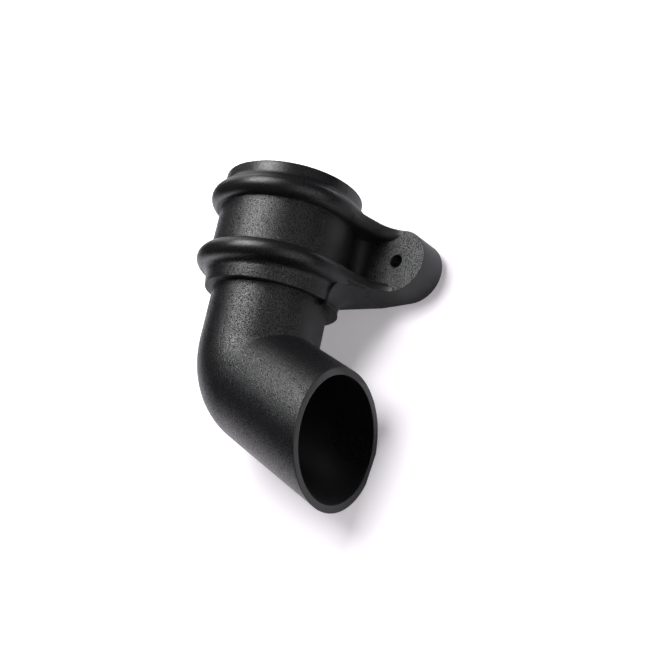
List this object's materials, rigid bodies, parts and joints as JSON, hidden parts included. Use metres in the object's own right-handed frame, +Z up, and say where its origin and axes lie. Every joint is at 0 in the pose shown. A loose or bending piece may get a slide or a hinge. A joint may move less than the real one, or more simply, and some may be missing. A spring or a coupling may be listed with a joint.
{
  "type": "downpipe shoe",
  "caption": "Black moulded rainwater downpipe shoe: a beaded round socket with screw lugs at its sides, and a bend below it that throws the water out sideways along the wall.",
  "frame": {"origin": "on the socket axis, level with the screw holes", "axes": "+Z up the socket axis to the rim, +Y to the wall, +X the way the water is thrown"},
  "size_m": [0.155, 0.1013, 0.185],
  "materials": {
    "moulding": "black PVC-U with a coarse moulded cast-iron grain, smooth along the parting line and on the lug sides"
  },
  "bodies": {
    "root": {"downpipe_shoe": "moulding"}
  },
  "joints": []
}
